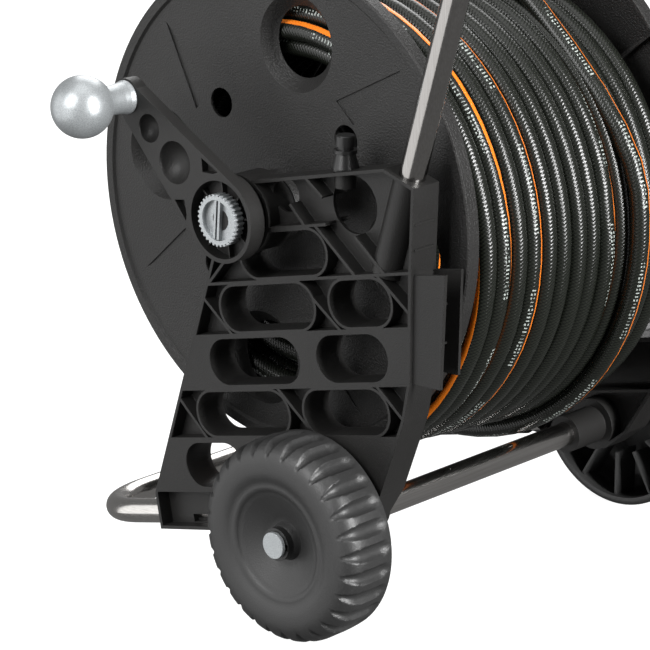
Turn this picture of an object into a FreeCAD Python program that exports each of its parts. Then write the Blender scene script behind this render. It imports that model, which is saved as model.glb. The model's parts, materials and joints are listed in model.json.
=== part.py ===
import FreeCAD, Part
import math, os

# Garden hose reel cart. Millimetres. +X is the crank side, +Y the rear (wheels
# and handle), +Z up. Reel axis and wheel axle both run along X.
V = FreeCAD.Vector
doc = FreeCAD.newDocument("hose_reel_cart")
sheet = doc.addObject("Spreadsheet::Sheet", "Dims")

DIMS = [
    ("shift_x", -21.6, "moves the whole cart so its box is centred over the origin"),
    ("shift_y", -43.2, "same along the cart"),
    ("reel_z", 343.0, "reel axis height"),
    ("flange_rad", 213.0, "reel flange radius"),
    ("flange_out", 152.0, "outer face of the flange rim, from the middle plane"),
    ("flange_in", 138.0, "inner face of the flange"),
    ("bearing_rad", 20.05, "bearing bore in the side frame"),
    ("journal_rad", 20.0, "reel journal"),
    ("frame_out", 197.0, "outer plane of a side frame"),
    ("frame_depth", 30.0, "depth of a side frame"),
    ("web_in", 181.0, "inner face of the frame web"),
    ("web_thick", 3.0, "frame web"),
    ("tube_rad", 11.0, "steel tube radius"),
    ("tube_wall", 1.5, "steel tube wall"),
    ("axle_y", 92.0, "wheel axle, behind the reel axis"),
    ("wheel_rad", 88.0, "wheel radius, also axle height"),
    ("wheel_in", 203.0, "inner edge of a wheel"),
    ("axle_half", 250.5, "half length of the axle tube"),
    ("foot_x", 168.0, "foot tube leg, from the middle plane"),
    ("foot_y", -233.6, "front run of the foot tube"),
    ("foot_tilt", 14.4, "slope of the foot tube, degrees"),
    ("foot_bend", 75.0, "bend radius of the foot tube"),
    ("handle_x", 182.0, "handle leg, from the middle plane"),
    ("handle_y", 179.0, "handle axis at the top of its socket"),
    ("handle_z", 405.5, "height of that point"),
    ("handle_lean", 16.1, "handle leans back, degrees"),
    ("handle_top", 905.0, "height of the grip run"),
    ("handle_bend", 62.0, "handle bend radius"),
    ("rib_tilt", 13.7, "slope of the frame ribs, degrees"),
    ("rib_thick", 2.6, "frame rib"),
    ("crank_len", 140.6, "crank throw"),
    ("crank_ang", 141.9, "crank direction at rest, degrees"),
    ("crank_in", 205.0, "inner face of the crank"),
    ("knob_rad", 26.6, "ball knob radius"),
    ("knob_x", 270.5, "centre of the ball"),
    ("spindle_rad", 5.0, "knob spindle"),
    ("nut_rad", 22.3, "crank lock nut"),
    ("coil_half", 136.0, "half width of the wound hose"),
    ("coil_in", 114.0, "inner radius of the wound hose"),
]
D = {}
for row, (name, value, note) in enumerate(DIMS, start=1):
    sheet.set("A%d" % row, name)
    sheet.set("B%d" % row, repr(value))
    sheet.set("C%d" % row, note)
    sheet.setAlias("B%d" % row, name)
    D[name] = value
doc.recompute()

AX = {
    "X": V(1, 0, 0), "-X": V(-1, 0, 0), "Y": V(0, 1, 0), "-Y": V(0, -1, 0), "Z": V(0, 0, 1),
    "-Z": V(0, 0, -1),
}
finals = []


def rot_to(axis):
    return FreeCAD.Rotation(V(0, 0, 1), axis if isinstance(axis, FreeCAD.Vector) else AX[axis])


def bind(obj, prop, value):
    if isinstance(value, str):
        obj.setExpression(prop, value)
    else:
        obj.setExpression(prop, repr(float(value)))


def place(obj, pos, rot):
    obj.Placement = FreeCAD.Placement(V(0, 0, 0), rot)
    for key, value in zip("xyz", pos):
        bind(obj, "Placement.Base." + key, value)


def cyl(name, r, h, pos, axis):
    o = doc.addObject("Part::Cylinder", name)
    bind(o, "Radius", r)
    bind(o, "Height", h)
    place(o, pos, rot_to(axis))
    return o


def cone(name, r1, r2, h, pos, axis):
    o = doc.addObject("Part::Cone", name)
    bind(o, "Radius1", r1)
    bind(o, "Radius2", r2)
    bind(o, "Height", h)
    place(o, pos, rot_to(axis))
    return o


def ball(name, r, pos):
    o = doc.addObject("Part::Sphere", name)
    bind(o, "Radius", r)
    place(o, pos, FreeCAD.Rotation())
    return o


def box(name, size, pos, rot=None):
    o = doc.addObject("Part::Box", name)
    for prop, value in zip(("Length", "Width", "Height"), size):
        bind(o, prop, value)
    place(o, pos, rot or FreeCAD.Rotation())
    return o


def fuse(name, items):
    o = doc.addObject("Part::MultiFuse", name)
    o.Shapes = items
    return o


def cut(name, base, tools):
    o = doc.addObject("Part::Cut", name)
    o.Base = base
    o.Tool = tools if not isinstance(tools, list) else (
        tools[0] if len(tools) == 1 else fuse(name + "_tool", tools)
    )
    return o


def solid(name, shape):
    o = doc.addObject("Part::Feature", name)
    o.Shape = shape
    return o


def prism(name, pts, x0, depth):
    wire = doc.addObject("Part::Polygon", name + "_wire")
    wire.Nodes = [V(0, y, z) for y, z in pts]
    wire.Close = True
    o = doc.addObject("Part::Extrusion", name)
    o.Base = wire
    o.DirMode = "Custom"
    o.Dir = V(1, 0, 0)
    o.Solid = True
    bind(o, "LengthFwd", depth)
    bind(o, "Placement.Base.x", x0)
    return o


def turned(name, pts, y, z):
    # closed profile of (x, radius) points turned about the X axis through (y, z)
    wire = doc.addObject("Part::Polygon", name + "_wire")
    wire.Nodes = [V(x, 0, r) for x, r in pts]
    wire.Close = True
    o = doc.addObject("Part::Revolution", name)
    o.Source = wire
    o.Axis = V(1, 0, 0)
    o.Base = V(0, 0, 0)
    o.Angle = 360
    o.Solid = True
    place(o, (0, y, z), FreeCAD.Rotation())
    return o


def mirrored(name, source):
    o = doc.addObject("Part::Mirroring", name)
    o.Source = source
    o.Normal = V(1, 0, 0)
    o.Base = V(0, 0, 0)
    return o


def final(node, obj):
    # a sub-part: its shape carried to the cart's common frame by its own Placement
    o = doc.addObject("Part::Compound", node + "_part")
    o.Links = [obj]
    bind(o, "Placement.Base.x", "Dims.shift_x")
    bind(o, "Placement.Base.y", "Dims.shift_y")
    o.Label = node
    finals.append((node, o))
    return o


RZ = "Dims.reel_z"
rz = D["reel_z"]
ct, st = math.cos(math.radians(D["rib_tilt"])), math.sin(math.radians(D["rib_tilt"]))


def yz(u, v):
    # frame rib coordinates (u along the ribs towards the rear, v across them)
    return (u * ct - v * st, u * st + v * ct)


def polar(r, deg):
    return (r * math.cos(math.radians(deg)), rz + r * math.sin(math.radians(deg)))


# ---------------------------------------------------------------- side frames
def face_of(pts):
    return Part.Face(Part.makePolygon([V(0, y, z) for y, z in pts] + [V(0, pts[0][0], pts[0][1])]))


def disc(y, z, r):
    return Part.Face(Part.Wire(Part.makeCircle(r, V(0, y, z), V(1, 0, 0))))


def stadium(u0, u1, v, r):
    # slot outline between two end centres
    a, b = yz(u0, v), yz(u1, v)
    n = (-st * r, ct * r)
    body = face_of(
        [
            (a[0] + n[0], a[1] + n[1]), (b[0] + n[0], b[1] + n[1]), (b[0] - n[0], b[1] - n[1]),
            (a[0] - n[0], a[1] - n[1]),
        ],
    )
    return body.fuse([disc(a[0], a[1], r), disc(b[0], b[1], r)]).removeSplitter()


def strip(p, q, t):
    # straight rib between two (u, v) points
    a, b = yz(*p), yz(*q)
    dy, dz = b[0] - a[0], b[1] - a[1]
    n = math.hypot(dy, dz)
    oy, oz = -dz / n * t / 2, dy / n * t / 2
    return face_of(
        [(a[0] + oy, a[1] + oz), (b[0] + oy, b[1] + oz), (b[0] - oy, b[1] - oz), (a[0] - oy, a[1] - oz)]
    )


def side_frame():
    t = D["rib_thick"]
    xo, dep = D["frame_out"], D["frame_depth"]
    xi = xo - dep
    edge = [
        yz(-90.3, 58.8), yz(-89.0, 92.0), yz(39.2, 300.0), (-33.0, rz + 2), (-20.0, rz + 28),
        yz(84.0, 361.0), yz(253.3, 361.0), (193.9, 400.5), (191.6, 330.0), (191.4, 236.4), (185.1, 202.7),
        (159.5, 133.2), (132.0, 88.0), (108.0, 68.0), (80.0, 66.0), yz(30.0, 58.8),
    ]
    big = face_of(edge)
    hollow = big.makeOffset2D(-3.0)
    # each opening: u0, u1, v, outer radius, bore radius
    slots = [
        (91.8, 154.8, 297.7, 21.0, 18.6),
        (57.5, 129.5, 253.3, 21.8, 19.4),
        (187.5, 217.0, 253.3, 21.8, 19.4),
        (32.5, 101.4, 207.8, 22.4, 20.0),
        (161.6, 202.6, 207.8, 22.4, 20.0),
        (5.3, 77.7, 162.6, 21.6, 19.2),
        (135.3, 193.0, 162.6, 21.6, 19.2),
        (-21.5, 10.0, 117.4, 22.0, 19.6),
    ]
    ring0 = yz(203.5, 332.0)
    pocket = yz(127.0, 345.0)
    rings = [stadium(a, b, v, ro) for a, b, v, ro, ri in slots] + [
        disc(ring0[0], ring0[1], 26.8), disc(pocket[0], pocket[1], 17.4)
    ]
    bores = [stadium(a, b, v, ri) for a, b, v, ro, ri in slots] + [
        disc(ring0[0], ring0[1], 24.2), disc(pocket[0], pocket[1], 14.8)
    ]
    strips = [
        strip((20, 359.7), (262, 359.7), t), strip((40, 319.6), (179, 319.6), t),
        strip((0, 275.7), (270, 275.7), t), strip((-20, 231.0), (260, 231.0), t),
        strip((-50, 184.8), (260, 184.8), t), strip((-80, 140.6), (240, 140.6), t),
        strip((-110, 94.0), (210, 94.0), t), strip((142, 338.5), (155.0, 319.0), t),
        strip((165.5, 358.5), (180.5, 342.0), t), strip((209.0, 308.0), (235.0, 275.7), t),
        strip((166.0, 320.0), (202.0, 275.7), t), strip((27, 275.7), (76, 312.0), t),
        strip((14.0, 269.6), (46.5, 230.5), t), strip((134.0, 276.0), (175.0, 231.0), t),
        strip((225.5, 276.0), (262.0, 234.5), t), strip((-38.0, 181.0), (-7.0, 139.0), t),
        strip((87.5, 185.5), (126.0, 140.5), t), strip((203.0, 186.0), (242.0, 138.0), t),
    ]
    solids = []
    ribs = strips[0].fuse(strips[1:] + rings)
    for b in bores:
        ribs = ribs.cut(b)
    ribs = ribs.common(big)
    solids.append(ribs.extrude(V(dep, 0, 0)))
    solids.append(big.cut(hollow).extrude(V(dep, 0, 0)))
    web = big.copy()
    for b in bores:
        web = web.cut(b)
    w = web.extrude(V(D["web_thick"], 0, 0))
    w.translate(V(D["web_in"] - xi, 0, 0))
    solids.append(w)
    # round nose of the frame round the reel bearing
    nose = disc(0, rz, 34.0).cut(disc(0, rz, 31.0)).extrude(V(dep, 0, 0))
    nose_web = disc(0, rz, 34.0).extrude(V(D["web_thick"], 0, 0))
    nose_web.translate(V(D["web_in"] - xi, 0, 0))
    solids += [nose, nose_web]
    # closed face panels at the outer plane in two of the rows
    for v0, v1 in ((184.8, 231.0), (94.0, 140.6)):
        band = face_of([yz(-140, v0), yz(300, v0), yz(300, v1), yz(-140, v1)]).common(big)
        for b in bores:
            band = band.cut(b)
        p = band.extrude(V(3.0, 0, 0))
        p.translate(V(dep - 3.0, 0, 0))
        solids.append(p)
    body = solids[0].fuse(solids[1:]).removeSplitter()
    body.translate(V(xi, 0, 0))
    return body.Solids[0]


lattice = solid("frame_lattice", side_frame())
lean = math.radians(D["handle_lean"])
h_dir = V(0, math.sin(lean), math.cos(lean))
h_low = V(D["handle_x"], D["handle_y"], D["handle_z"]) - h_dir * 88.0
tilt = math.radians(D["foot_tilt"])
f_dir = V(0, -math.cos(tilt), -math.sin(tilt))
f_front = V(0, D["foot_y"], D["tube_rad"])
f_leg_rear = f_front - f_dir * 275.0 + V(D["foot_x"], 0, 0)
s_front = f_front - f_dir * 136.0 + V(D["foot_x"], 0, 0)

sleeve = cyl("handle_sleeve", 14.5, 86.0, (h_low.x, h_low.y, h_low.z), h_dir)
saddle = cyl("foot_sleeve", 14.0, 120.0, (s_front.x, s_front.y, s_front.z), f_dir * -1)
bearing = cyl("bearing_boss", 27.0, 40.0, (160.0, 0, RZ), "X")
axle_boss = cyl("axle_boss", 17.0, 71.0, (128.0, "Dims.axle_y", "Dims.wheel_rad"), "X")
axle_pad = cyl("axle_pad", 24.0, 32.0, (167.0, "Dims.axle_y", "Dims.wheel_rad"), "X")
plate_out = prism(
    "guide_plate_outer", [(189.0, 236.6), (221.2, 238.4), (225.0, 334.8), (189.0, 327.6)], 191.0, 3.0
)
plate_in = prism(
    "guide_plate_inner", [(189.0, 243.6), (219.0, 245.0), (221.0, 334.0), (189.0, 327.6)], 167.0, 3.0
)
guide_ribs = [
    prism(
        "guide_rib_%d" % i,
        [(189.0, z), (207.0, z + 3.0), (207.0, z + 5.0), (189.0, z + 2.0)],
        170.0,
        22.0,
    )
    for i, z in enumerate((266.0, 298.6))
]
ridges = [
    box("rear_ridge_%d" % i, (24.0, 3.0, 2.2), (170.5, 190.4, z))
    for i, z in enumerate((347.5, 369.0, 390.5))
]
peg_seat = cyl("peg_seat", 9.0, 14.0, (183.0, 107.4, 383.5), "Z")
frame_holes = [
    cyl("handle_bore", "Dims.tube_rad", 120.0, (h_low.x, h_low.y, h_low.z), h_dir),
    cyl("foot_bore", "Dims.tube_rad", 300.0, (f_leg_rear.x, f_leg_rear.y, f_leg_rear.z), f_dir),
    cyl("bearing_bore", "Dims.bearing_rad", 60.0, (150.0, 0, RZ), "X"),
    cyl("axle_bore", "Dims.tube_rad", 90.0, (120.0, "Dims.axle_y", "Dims.wheel_rad"), "X"),
    cyl("peg_bore", 4.0, 30.0, (183.0, 107.4, 380.0), "Z"),
    cyl("peg_spot", 11.4, 8.0, (183.0, 107.4, 397.5), "Z"),
    box(
        "saddle_window", (20.0, 40.0, 7.0), (178.5, -72.0, 46.6),
        FreeCAD.Rotation(V(1, 0, 0), D["foot_tilt"]),
    ),
]
frame_raw = fuse(
    "side_frame_raw",
    [
        lattice, sleeve, saddle, bearing, axle_boss, axle_pad, plate_out, plate_in, peg_seat
    ] + guide_ribs + ridges,
)
frame_a = cut("side_frame_a", frame_raw, frame_holes)
final("side_frame_crank_side", frame_a)
final("side_frame_inlet_side", mirrored("side_frame_b", frame_a))

# ---------------------------------------------------------------- reel flanges
rim_out, rim_rad = D["flange_out"], D["flange_rad"]
plate = turned(
    "flange_body",
    [
        (146.5, 20.0), (149.6, 20.0), (149.6, 202.0), (rim_out, 204.0), (rim_out, 211.5), (150.8, rim_rad),
        (139.0, rim_rad), (138.0, 212.0), (138.0, 209.8), (146.5, 209.8),
    ],
    0,
    RZ,
)
hub = turned(
    "flange_hub",
    [
        (138.0, 20.0), (157.0, 20.0), (157.0, 27.0), (150.5, 30.0), (149.0, 46.0), (146.0, 46.0),
        (146.0, 34.0), (138.0, 34.0),
    ],
    0,
    RZ,
)
collar = turned("drum_collar", [(138.0, 88.6), (147.0, 88.6), (147.0, 91.6), (138.0, 91.6)], 0, RZ)
cups, holes = [], []
for k in range(4):
    y, z = polar(142.0, 82.0 + 90 * k)
    cups.append(cone("hole_cup_%d" % k, 33.0, 44.0, 11.6, (138.0, y, z), "X"))
    holes.append(cone("hole_taper_%d" % k, 30.0, 41.6, 12.4, (137.6, y, z), "X"))
    y, z = polar(102.5, 131.6 + 90 * k)
    holes.append(cyl("small_hole_%d" % k, 12.8, 20.0, (138.5, y, z), "X"))
ribs = []
for k in range(12):
    a = 7.0 + 30 * k
    rot = FreeCAD.Rotation(V(1, 0, 0), a)
    off = rot.multVec(V(0, 92.0, -1.2))
    ribs.append(box("flange_rib_%d" % k, (8.0, 119.0, 2.4), (139.5, off.y, rz + off.z), rot))
wedges = []
for k, (tip, b0, b1) in enumerate(
    (
        ((192.5, 134.4), (118.0, 133.6), (119.0, 146.2)), ((192.5, 44.9), (118.0, 44.1), (119.0, 56.7)),
        ((186.5, 208.3), (122.0, 200.6), (122.0, 205.2)),
        ((192.5, 299.6), (122.0, 290.6), (122.0, 295.2)),
    ),
):
    pts = [polar(*tip), polar(*b0), polar(*b1)]
    wedges.append(prism("wedge_pocket_%d" % k, pts, 148.1, 4.0))
rod_places = [polar(62.0, 20.0 + 90 * k) for k in range(4)]
rod_bosses = [cyl("rod_boss_%d" % k, 6.5, 9.0, (138.0, y, z), "X") for k, (y, z) in enumerate(rod_places)]
blind_holes = [
    cyl("rod_blind_hole_%d" % k, 3.0, 12.0, (134.6, y, z), "X")
    for k, (y, z) in enumerate(rod_places)
]
rod_holes = [
    cyl("rod_hole_%d" % k, 3.0, 30.0, (-130.0, y, z), "-X")
    for k, (y, z) in enumerate(rod_places)
]
flange_raw = fuse("flange_raw", [plate, hub, collar] + cups + ribs + rod_bosses)
flange_a = cut("flange_a", flange_raw, holes + wedges + blind_holes)
final("reel_flange_crank_side", flange_a)
final("reel_flange_inlet_side", cut("flange_b", mirrored("flange_b_blank", flange_a), rod_holes))

# drum in two halves with a lapped joint in the middle
half_a = turned(
    "drum_half_a_tube",
    [(0.4, 92.0), (138.0, 92.0), (138.0, 95.0), (-5.0, 95.0), (-5.0, 93.6), (0.4, 93.6)],
    0,
    RZ,
)
half_b = turned(
    "drum_half_b_tube",
    [(-138.0, 92.0), (0.0, 92.0), (0.0, 93.4), (-5.4, 93.4), (-5.4, 95.0), (-138.0, 95.0)],
    0,
    RZ,
)
final("drum_half_crank_side", half_a)
port = cyl("drum_port", 9.4, 30.0, (-118.0, 0, rz + 80.0), "Z")
final("drum_half_inlet_side", cut("drum_half_b_cut", half_b, port))

# four long screws pull the two flanges onto the drum: they go in from the inlet side
# and end in blind bosses on the inner face of the crank side flange
rods = []
for k in range(4):
    y, z = rod_places[k]
    rod = cyl("tie_rod_%d" % k, 3.0, 296.0, (-149.6, y, z), "X")
    head = cyl("tie_rod_head_%d" % k, 6.0, 3.6, (-149.6, y, z), "-X")
    rods.append(fuse("tie_rod_set_%d" % k, [rod, head]))
group = doc.addObject("Part::Compound", "tie_rods_all")
group.Links = rods
final("drum_tie_rods", group)

# ---------------------------------------------------------------- journals
journal_a = fuse(
    "journal_crank",
    [
        cyl("journal_a_body", "Dims.journal_rad", 69.5, (134.0, 0, RZ), "X"),
        cyl("journal_a_flange", 33.5, 3.8, (134.0, 0, RZ), "X"),
        cyl("journal_a_square", 12.0, 10.5, (203.5, 0, RZ), "X"),
        cyl("journal_a_stud", 9.0, 5.3, (214.0, 0, RZ), "X"),
    ],
)
final(
    "hub_journal_crank_side",
    cut("journal_a", journal_a, cyl("journal_a_hollow", 6.0, 76.0, (130.0, 0, RZ), "X")),
)
journal_b = fuse(
    "journal_inlet",
    [
        cyl("journal_b_body", "Dims.journal_rad", 69.5, (-134.0, 0, RZ), "-X"),
        cyl("journal_b_flange", 33.5, 3.8, (-134.0, 0, RZ), "-X"),
        cyl("journal_b_spigot", 11.0, 24.5, (-203.5, 0, RZ), "-X"),
    ],
)
groove = cut(
    "seal_groove", cyl("seal_groove_o", 12.0, 3.2, (-219.0, 0, RZ), "-X"),
    cyl("seal_groove_i", 9.0, 3.2, (-219.0, 0, RZ), "-X"),
)
final(
    "hub_journal_inlet_side",
    cut("journal_b", journal_b, [cyl("journal_b_bore", 6.0, 110.0, (-130.0, 0, RZ), "-X"), groove]),
)
seal = doc.addObject("Part::Torus", "seal_torus")
bind(seal, "Radius1", 10.0)
bind(seal, "Radius2", 0.98)
place(seal, (-220.6, 0, RZ), rot_to("X"))
final("inlet_seal_ring", seal)
for side, sign in (("crank_side", 1), ("inlet_side", -1)):
    ring = cut(
        "thrust_" + side,
        cyl("thrust_o_" + side, 26.0, 2.4, (157.1 * sign, 0, RZ), "X" if sign > 0 else "-X"),
        cyl("thrust_i_" + side, 20.0, 2.4, (157.1 * sign, 0, RZ), "X" if sign > 0 else "-X"),
    )
    final("thrust_washer_" + side, ring)

# ---------------------------------------------------------------- crank
ca = math.radians(D["crank_ang"])
ky, kz = D["crank_len"] * math.cos(ca), rz + D["crank_len"] * math.sin(ca)


def along(a, p):
    # point on the crank: a along the arm from the hub, p to its lower side
    return (a * math.cos(ca) - p * math.sin(ca), rz + a * math.sin(ca) + p * math.cos(ca))


arm_plate = prism(
    "arm_plate",
    [along(8.0, 36.2), along(136.0, 15.6), along(136.0, -15.6), along(8.0, -36.2)],
    209.0,
    12.0,
)
arm_hub = cyl("arm_hub", 37.0, 16.0, ("Dims.crank_in", 0, RZ), "X")
arm_end = cyl("arm_end", 16.0, 12.0, (209.0, ky, kz), "X")
hub_cup = cyl("arm_hub_cup", 33.2, 20.0, (208.6, 0, RZ), "X")
arm_raw = cut("arm_cupped", fuse("arm_blank", [arm_plate, arm_hub, arm_end]), hub_cup)
spokes = []
for k in range(8):
    rot = FreeCAD.Rotation(V(1, 0, 0), 8.0 + 45 * k)
    off = rot.multVec(V(0, 16.0, -0.8))
    spokes.append(box("arm_spoke_%d" % k, (6.0, 18.0, 1.6), (208.0, off.y, rz + off.z), rot))
boss = cyl("arm_boss", 17.0, 9.0, ("Dims.crank_in", 0, RZ), "X")
arm_full = fuse("arm_full", [arm_raw, boss] + spokes)
d1, d2 = along(104.8, 0.5), along(65.7, 0.8)
arm_cuts = [
    cyl("arm_bore", 12.0, 30.0, (200.0, 0, RZ), "X"),
    ball("dimple_small", 12.6, (224.0, d1[0], d1[1])),
    ball("dimple_large", 20.2, (229.4, d2[0], d2[1])),
    prism(
        "arm_tri_a",
        [along(46.5, -26.5), along(38.5, -17.8), along(29.0, -25.8), along(26.0, -31.0)],
        214.0,
        10.0,
    ),
    prism(
        "arm_tri_b",
        [along(46.5, 26.5), along(38.5, 17.8), along(29.0, 25.8), along(26.0, 31.0)],
        214.0,
        10.0,
    ),
    cyl("arm_spindle_hole", "Dims.spindle_rad", 30.0, (205.0, ky, kz), "X"),
]
final("crank_arm", cut("arm", arm_full, arm_cuts))
spindle = fuse(
    "spindle",
    [
        cyl("spindle_rod", "Dims.spindle_rad", 52.0, (207.0, ky, kz), "X"),
        cyl("spindle_head", 8.0, 2.0, (207.0, ky, kz), "X"),
    ],
)
final("knob_spindle", spindle)
knob_profile = []
for k in range(37):
    a = math.radians(-2.0 + (180 - 29.5 + 2.0) * k / 36.0)
    knob_profile.append(
        (D["knob_x"] + D["knob_rad"] * math.cos(a), max(0.0, D["knob_rad"] * math.sin(a)))
    )
knob_profile = [(D["knob_x"] + D["knob_rad"], 0.0)] + [p for p in knob_profile[1:]]
knob_profile += [
    (242.0, 12.6), (232.0, 12.8), (226.0, 13.6), (222.4, 14.6), (221.5, 14.6), (221.5, 5.05),
    (259.6, 5.05), (259.6, 0.0),
]
knob = turned("knob", knob_profile, ky, kz)
final("crank_knob", knob)

teeth = []
for k in range(32):
    for frac, r in (
        (-0.30, D["nut_rad"] - 1.5), (-0.18, D["nut_rad"]), (0.18, D["nut_rad"]),
        (0.30, D["nut_rad"] - 1.5),
    ):
        teeth.append(polar(r, (k + frac) * 360.0 / 32))
nut_blank = prism("nut_gear", teeth, 214.1, 9.9)
nut_bar = [
    box(
        "nut_bar_%d" % k,
        (3.6, 33.6, 2.4),
        (
            219.4,
            -16.8 * math.cos(math.radians(86)) - (-1) ** k * 2.2 * math.sin(math.radians(86)),
            rz - 16.8 * math.sin(math.radians(86)) + (-1) ** k * 2.2 * math.cos(math.radians(86)),
        ),
        FreeCAD.Rotation(V(1, 0, 0), 86.0),
    )
    for k in range(2)
]
nut_cup = cyl("nut_cup", 17.2, 8.0, (219.4, 0, RZ), "X")
nut = fuse(
    "nut_full",
    [cut("nut_cupped", nut_blank, [nut_cup, cyl("nut_thread", 9.0, 6.4, (213.0, 0, RZ), "X")])] + nut_bar,
)
final("crank_lock_nut", nut)

# ---------------------------------------------------------------- inlet elbow
elbow_raw = fuse(
    "elbow_raw",
    [
        cyl("elbow_body", 15.5, 28.0, (-204.0, 0, RZ), "-X"), ball("elbow_cap", 15.5, (-231.0, 0, RZ)),
        cyl("elbow_neck", 9.5, 24.0, (-218.0, 0, RZ), "-Y"),
        cyl("elbow_collar", 11.5, 4.0, (-218.0, -24.0, RZ), "-Y"),
        cyl("elbow_tail", 8.0, 30.0, (-218.0, -28.0, RZ), "-Y"),
        cyl("elbow_ring", 9.4, 3.0, (-218.0, -44.0, RZ), "-Y"),
    ],
)
elbow = cut(
    "elbow",
    elbow_raw,
    [
        cyl("elbow_socket", 11.06, 26.0, (-203.0, 0, RZ), "-X"),
        cyl("elbow_waterway", 5.0, 70.0, (-218.0, 0, RZ), "-Y"),
    ],
)
final("water_inlet_elbow", elbow)

# water way from the hollow journal out through the drum to the hose
out_raw = fuse(
    "outlet_raw",
    [
        cyl("outlet_run", 9.0, 22.0, (-134.0, 0, RZ), "X"),
        ball("outlet_bend", 9.0, (-118.0, 0, RZ)),
        cyl("outlet_rise", 8.0, 104.0, (-118.0, 0, RZ), "Z"),
        ball("outlet_top", 8.0, (-118.0, 0, rz + 104.0)),
        cyl("outlet_barb", 7.2, 26.0, (-118.0, 0, rz + 104.0), "-Y"),
    ],
)
outlet = cut(
    "outlet",
    out_raw,
    [
        cyl("outlet_bore_a", 4.5, 17.0, (-134.5, 0, RZ), "X"),
        cyl("outlet_bore_b", 4.5, 104.0, (-118.0, 0, RZ), "Z"),
        cyl("outlet_bore_c", 4.5, 30.0, (-118.0, 0, rz + 104.0), "-Y"),
    ],
)
final("drum_outlet_elbow", outlet)

# ---------------------------------------------------------------- steel tubes
def bent_tube(points, bends, r_out, wall):
    # straight runs joined by round bends, hollow
    edges = []
    start = points[0]
    for i in range(1, len(points) - 1):
        a, b, c = points[i - 1], points[i], points[i + 1]
        u, w = (b - a).normalize(), (c - b).normalize()
        turn = math.acos(max(-1.0, min(1.0, u.dot(w))))
        cutback = bends[i - 1] * math.tan(turn / 2)
        p, q = b - u * cutback, b + w * cutback
        mid_dir = (w - u).normalize()
        centre = b + mid_dir * (bends[i - 1] / math.cos(turn / 2))
        edges.append(Part.LineSegment(start, p).toShape())
        edges.append(Part.Arc(p, centre - mid_dir * bends[i - 1], q).toShape())
        start = q
    edges.append(Part.LineSegment(start, points[-1]).toShape())
    path = Part.Wire(edges)
    first = (points[1] - points[0]).normalize()
    shapes = []
    for r in (r_out, r_out - wall):
        ring = Part.Wire(Part.makeCircle(r, points[0], first))
        shapes.append(path.makePipeShell([ring], True, False))
    return shapes[0].cut(shapes[1])


fx = D["foot_x"]
foot_pts = [
    f_leg_rear, f_front + V(fx, 0, 0), f_front + V(-fx, 0, 0),
    V(-f_leg_rear.x, f_leg_rear.y, f_leg_rear.z),
]
foot_shape = solid(
    "foot_tube_bend", bent_tube(foot_pts, [D["foot_bend"], D["foot_bend"]], D["tube_rad"], D["tube_wall"])
)
h_len = (D["handle_top"] - D["tube_rad"] - h_low.z) / math.cos(lean)
h_top = h_low + h_dir * h_len
handle_pts = [
    h_low + h_dir * 2.0, h_top, V(-h_top.x, h_top.y, h_top.z), V(-h_low.x, h_low.y, h_low.z) + h_dir * 2.0
]
handle_shape = solid(
    "handle_tube_bend",
    bent_tube(handle_pts, [D["handle_bend"], D["handle_bend"]], D["tube_rad"], D["tube_wall"]),
)
axle = cut(
    "axle",
    cyl(
        "axle_o", "Dims.tube_rad", "2*Dims.axle_half",
        ("-Dims.axle_half", "Dims.axle_y", "Dims.wheel_rad"), "X",
    ),
    cyl(
        "axle_i", "Dims.tube_rad - Dims.tube_wall", "2*Dims.axle_half + 2",
        ("-Dims.axle_half - 1", "Dims.axle_y", "Dims.wheel_rad"), "X",
    ),
)
final("axle_tube", axle)
for side, sign in (("crank_side", 1), ("inlet_side", -1)):
    ax = "X" if sign > 0 else "-X"
    cap = fuse(
        "cap_" + side,
        [
            cyl("cap_head_" + side, 11.3, 3.4, (250.5 * sign, "Dims.axle_y", "Dims.wheel_rad"), ax),
            cyl(
                "cap_plug_" + side, "Dims.tube_rad - Dims.tube_wall", 12.0,
                (238.5 * sign, "Dims.axle_y", "Dims.wheel_rad"), ax,
            ),
        ],
    )
    final("axle_end_cap_" + side, cap)
    keep = cut(
        "keeper_" + side,
        cyl("keeper_o_" + side, 14.2, 6.0, (244.0 * sign, "Dims.axle_y", "Dims.wheel_rad"), ax),
        cyl(
            "keeper_i_" + side, "Dims.tube_rad", 6.0, (244.0 * sign, "Dims.axle_y", "Dims.wheel_rad"), ax
        ),
    )
    slot_k = box(
        "keeper_slot_" + side,
        (7.0, 3.0, 6.0),
        (243.5 if sign > 0 else -250.5, D["axle_y"] + 10.5, D["wheel_rad"] - 3.0),
    )
    final("wheel_keeper_" + side, cut("keeper_slotted_" + side, keep, slot_k))

# ---------------------------------------------------------------- wheels
outer = [
    (203.0, 82.0), (203.0, 85.0), (205.0, 87.2), (209.0, 88.0), (236.0, 88.0), (240.5, 87.0),
    (245.0, 84.0), (249.0, 79.0), (252.0, 72.0), (253.2, 65.0), (253.0, 58.0), (251.0, 51.5),
    (247.6, 47.2), (243.0, 45.4), (237.0, 45.2),
]
back = [
    (234.0, 48.4), (243.0, 49.0), (247.4, 53.0), (249.6, 60.0), (249.6, 66.0), (247.6, 73.0),
    (243.0, 79.0), (238.0, 82.0),
]
shell = turned(
    "wheel_shell", outer + [(237.0, 15.0), (234.0, 15.0)] + back, "Dims.axle_y", "Dims.wheel_rad"
)
tube = turned(
    "wheel_hub_tube",
    [(203.6, 11.06), (243.6, 11.06), (243.6, 14.6), (239.0, 16.0), (237.0, 19.0), (203.6, 18.0)],
    "Dims.axle_y",
    "Dims.wheel_rad",
)
spokes_w = []
for k in range(12):
    rot = FreeCAD.Rotation(V(1, 0, 0), 30.0 * k)
    off = rot.multVec(V(0, 17.0, -1.1))
    spokes_w.append(
        box(
            "wheel_rib_%d" % k, (29.0, 66.0, 2.2), (206.0, D["axle_y"] + off.y, D["wheel_rad"] + off.z),
            rot,
        ),
    )
scoops = []
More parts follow.
